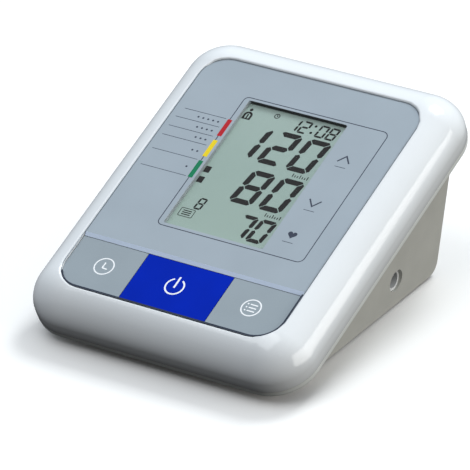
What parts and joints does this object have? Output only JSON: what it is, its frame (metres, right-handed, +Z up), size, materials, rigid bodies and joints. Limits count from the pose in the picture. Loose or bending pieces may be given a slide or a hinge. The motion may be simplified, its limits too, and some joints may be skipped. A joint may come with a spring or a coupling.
{
  "type": "automatic blood pressure monitor",
  "caption": "Desktop blood pressure monitor: sloping display face with sprung keys on a wedge base, air pump inside, side hose socket and sliding battery door.",
  "frame": {"origin": "on the table under the middle of the unit", "axes": "+X to the user's right, +Y to the rear, +Z up"},
  "size_m": [0.1154, 0.1324, 0.0681],
  "materials": {
    "white_gloss": "glossy moulded white plastic",
    "grey_case": "fine textured warm grey plastic",
    "panel_grey": "satin printed light blue-grey panel",
    "clear_window": "clear moulded window",
    "lcd": "reflective liquid crystal glass",
    "white_inner": "plain white moulding",
    "dark_rubber": "matte black rubber",
    "blue_key": "satin royal blue plastic",
    "key_grey": "satin grey plastic",
    "black_plastic": "black moulding",
    "board_green": "green lacquered glass fibre laminate",
    "sensor_metal": "tinned can",
    "motor_steel": "plated steel",
    "coil_copper": "enamelled copper winding",
    "tube_rubber": "translucent silicone tube",
    "socket_grey": "dark grey moulding",
    "cell_wrap": "plain printed sleeve",
    "contact_nickel": "nickel plate",
    "screw_steel": "zinc plate"
  },
  "bodies": {
    "housing": {"front_frame": "white_gloss", "rear_case": "grey_case", "display_panel": "panel_grey", "display_window": "clear_window", "lcd_glass": "lcd", "lcd_frame": "white_inner", "zebra_strips": "dark_rubber", "tact_switches": "black_plastic", "circuit_board": "board_green", "board_chips": "black_plastic", "buzzer": "black_plastic", "pressure_sensor": "sensor_metal", "pump_motor": "motor_steel", "pump_head": "black_plastic", "pump_cradle": "dark_rubber", "valve_coil": "coil_copper", "valve_yoke": "motor_steel", "air_manifold": "white_inner", "air_tubes": "tube_rubber", "air_socket": "socket_grey", "battery_cells": "cell_wrap", "battery_contacts": "contact_nickel", "rubber_feet": "dark_rubber", "case_screws": "screw_steel", "board_screws": "screw_steel"},
    "power_button": {"power_key": "blue_key"},
    "clock_button": {"clock_key": "key_grey"},
    "memory_button": {"memory_key": "key_grey"},
    "battery_cover": {"battery_door": "grey_case"}
  },
  "joints": [
    {"name": "power_press", "type": "slide", "parent": "housing", "child": "power_button", "axis": [0, 0.3746, -0.9272], "range_m": [0, 0.0005], "stiffness_N_per_m": 900, "springref_m": -0.0003},
    {"name": "clock_press", "type": "slide", "parent": "housing", "child": "clock_button", "axis": [0, 0.3746, -0.9272], "range_m": [0, 0.0005], "stiffness_N_per_m": 900, "springref_m": -0.0003},
    {"name": "memory_press", "type": "slide", "parent": "housing", "child": "memory_button", "axis": [0, 0.3746, -0.9272], "range_m": [0, 0.0005], "stiffness_N_per_m": 900, "springref_m": -0.0003},
    {"name": "battery_door_slide", "type": "slide", "parent": "housing", "child": "battery_cover", "axis": [0, 1, 0], "range_m": [0, 0.06]}
  ]
}
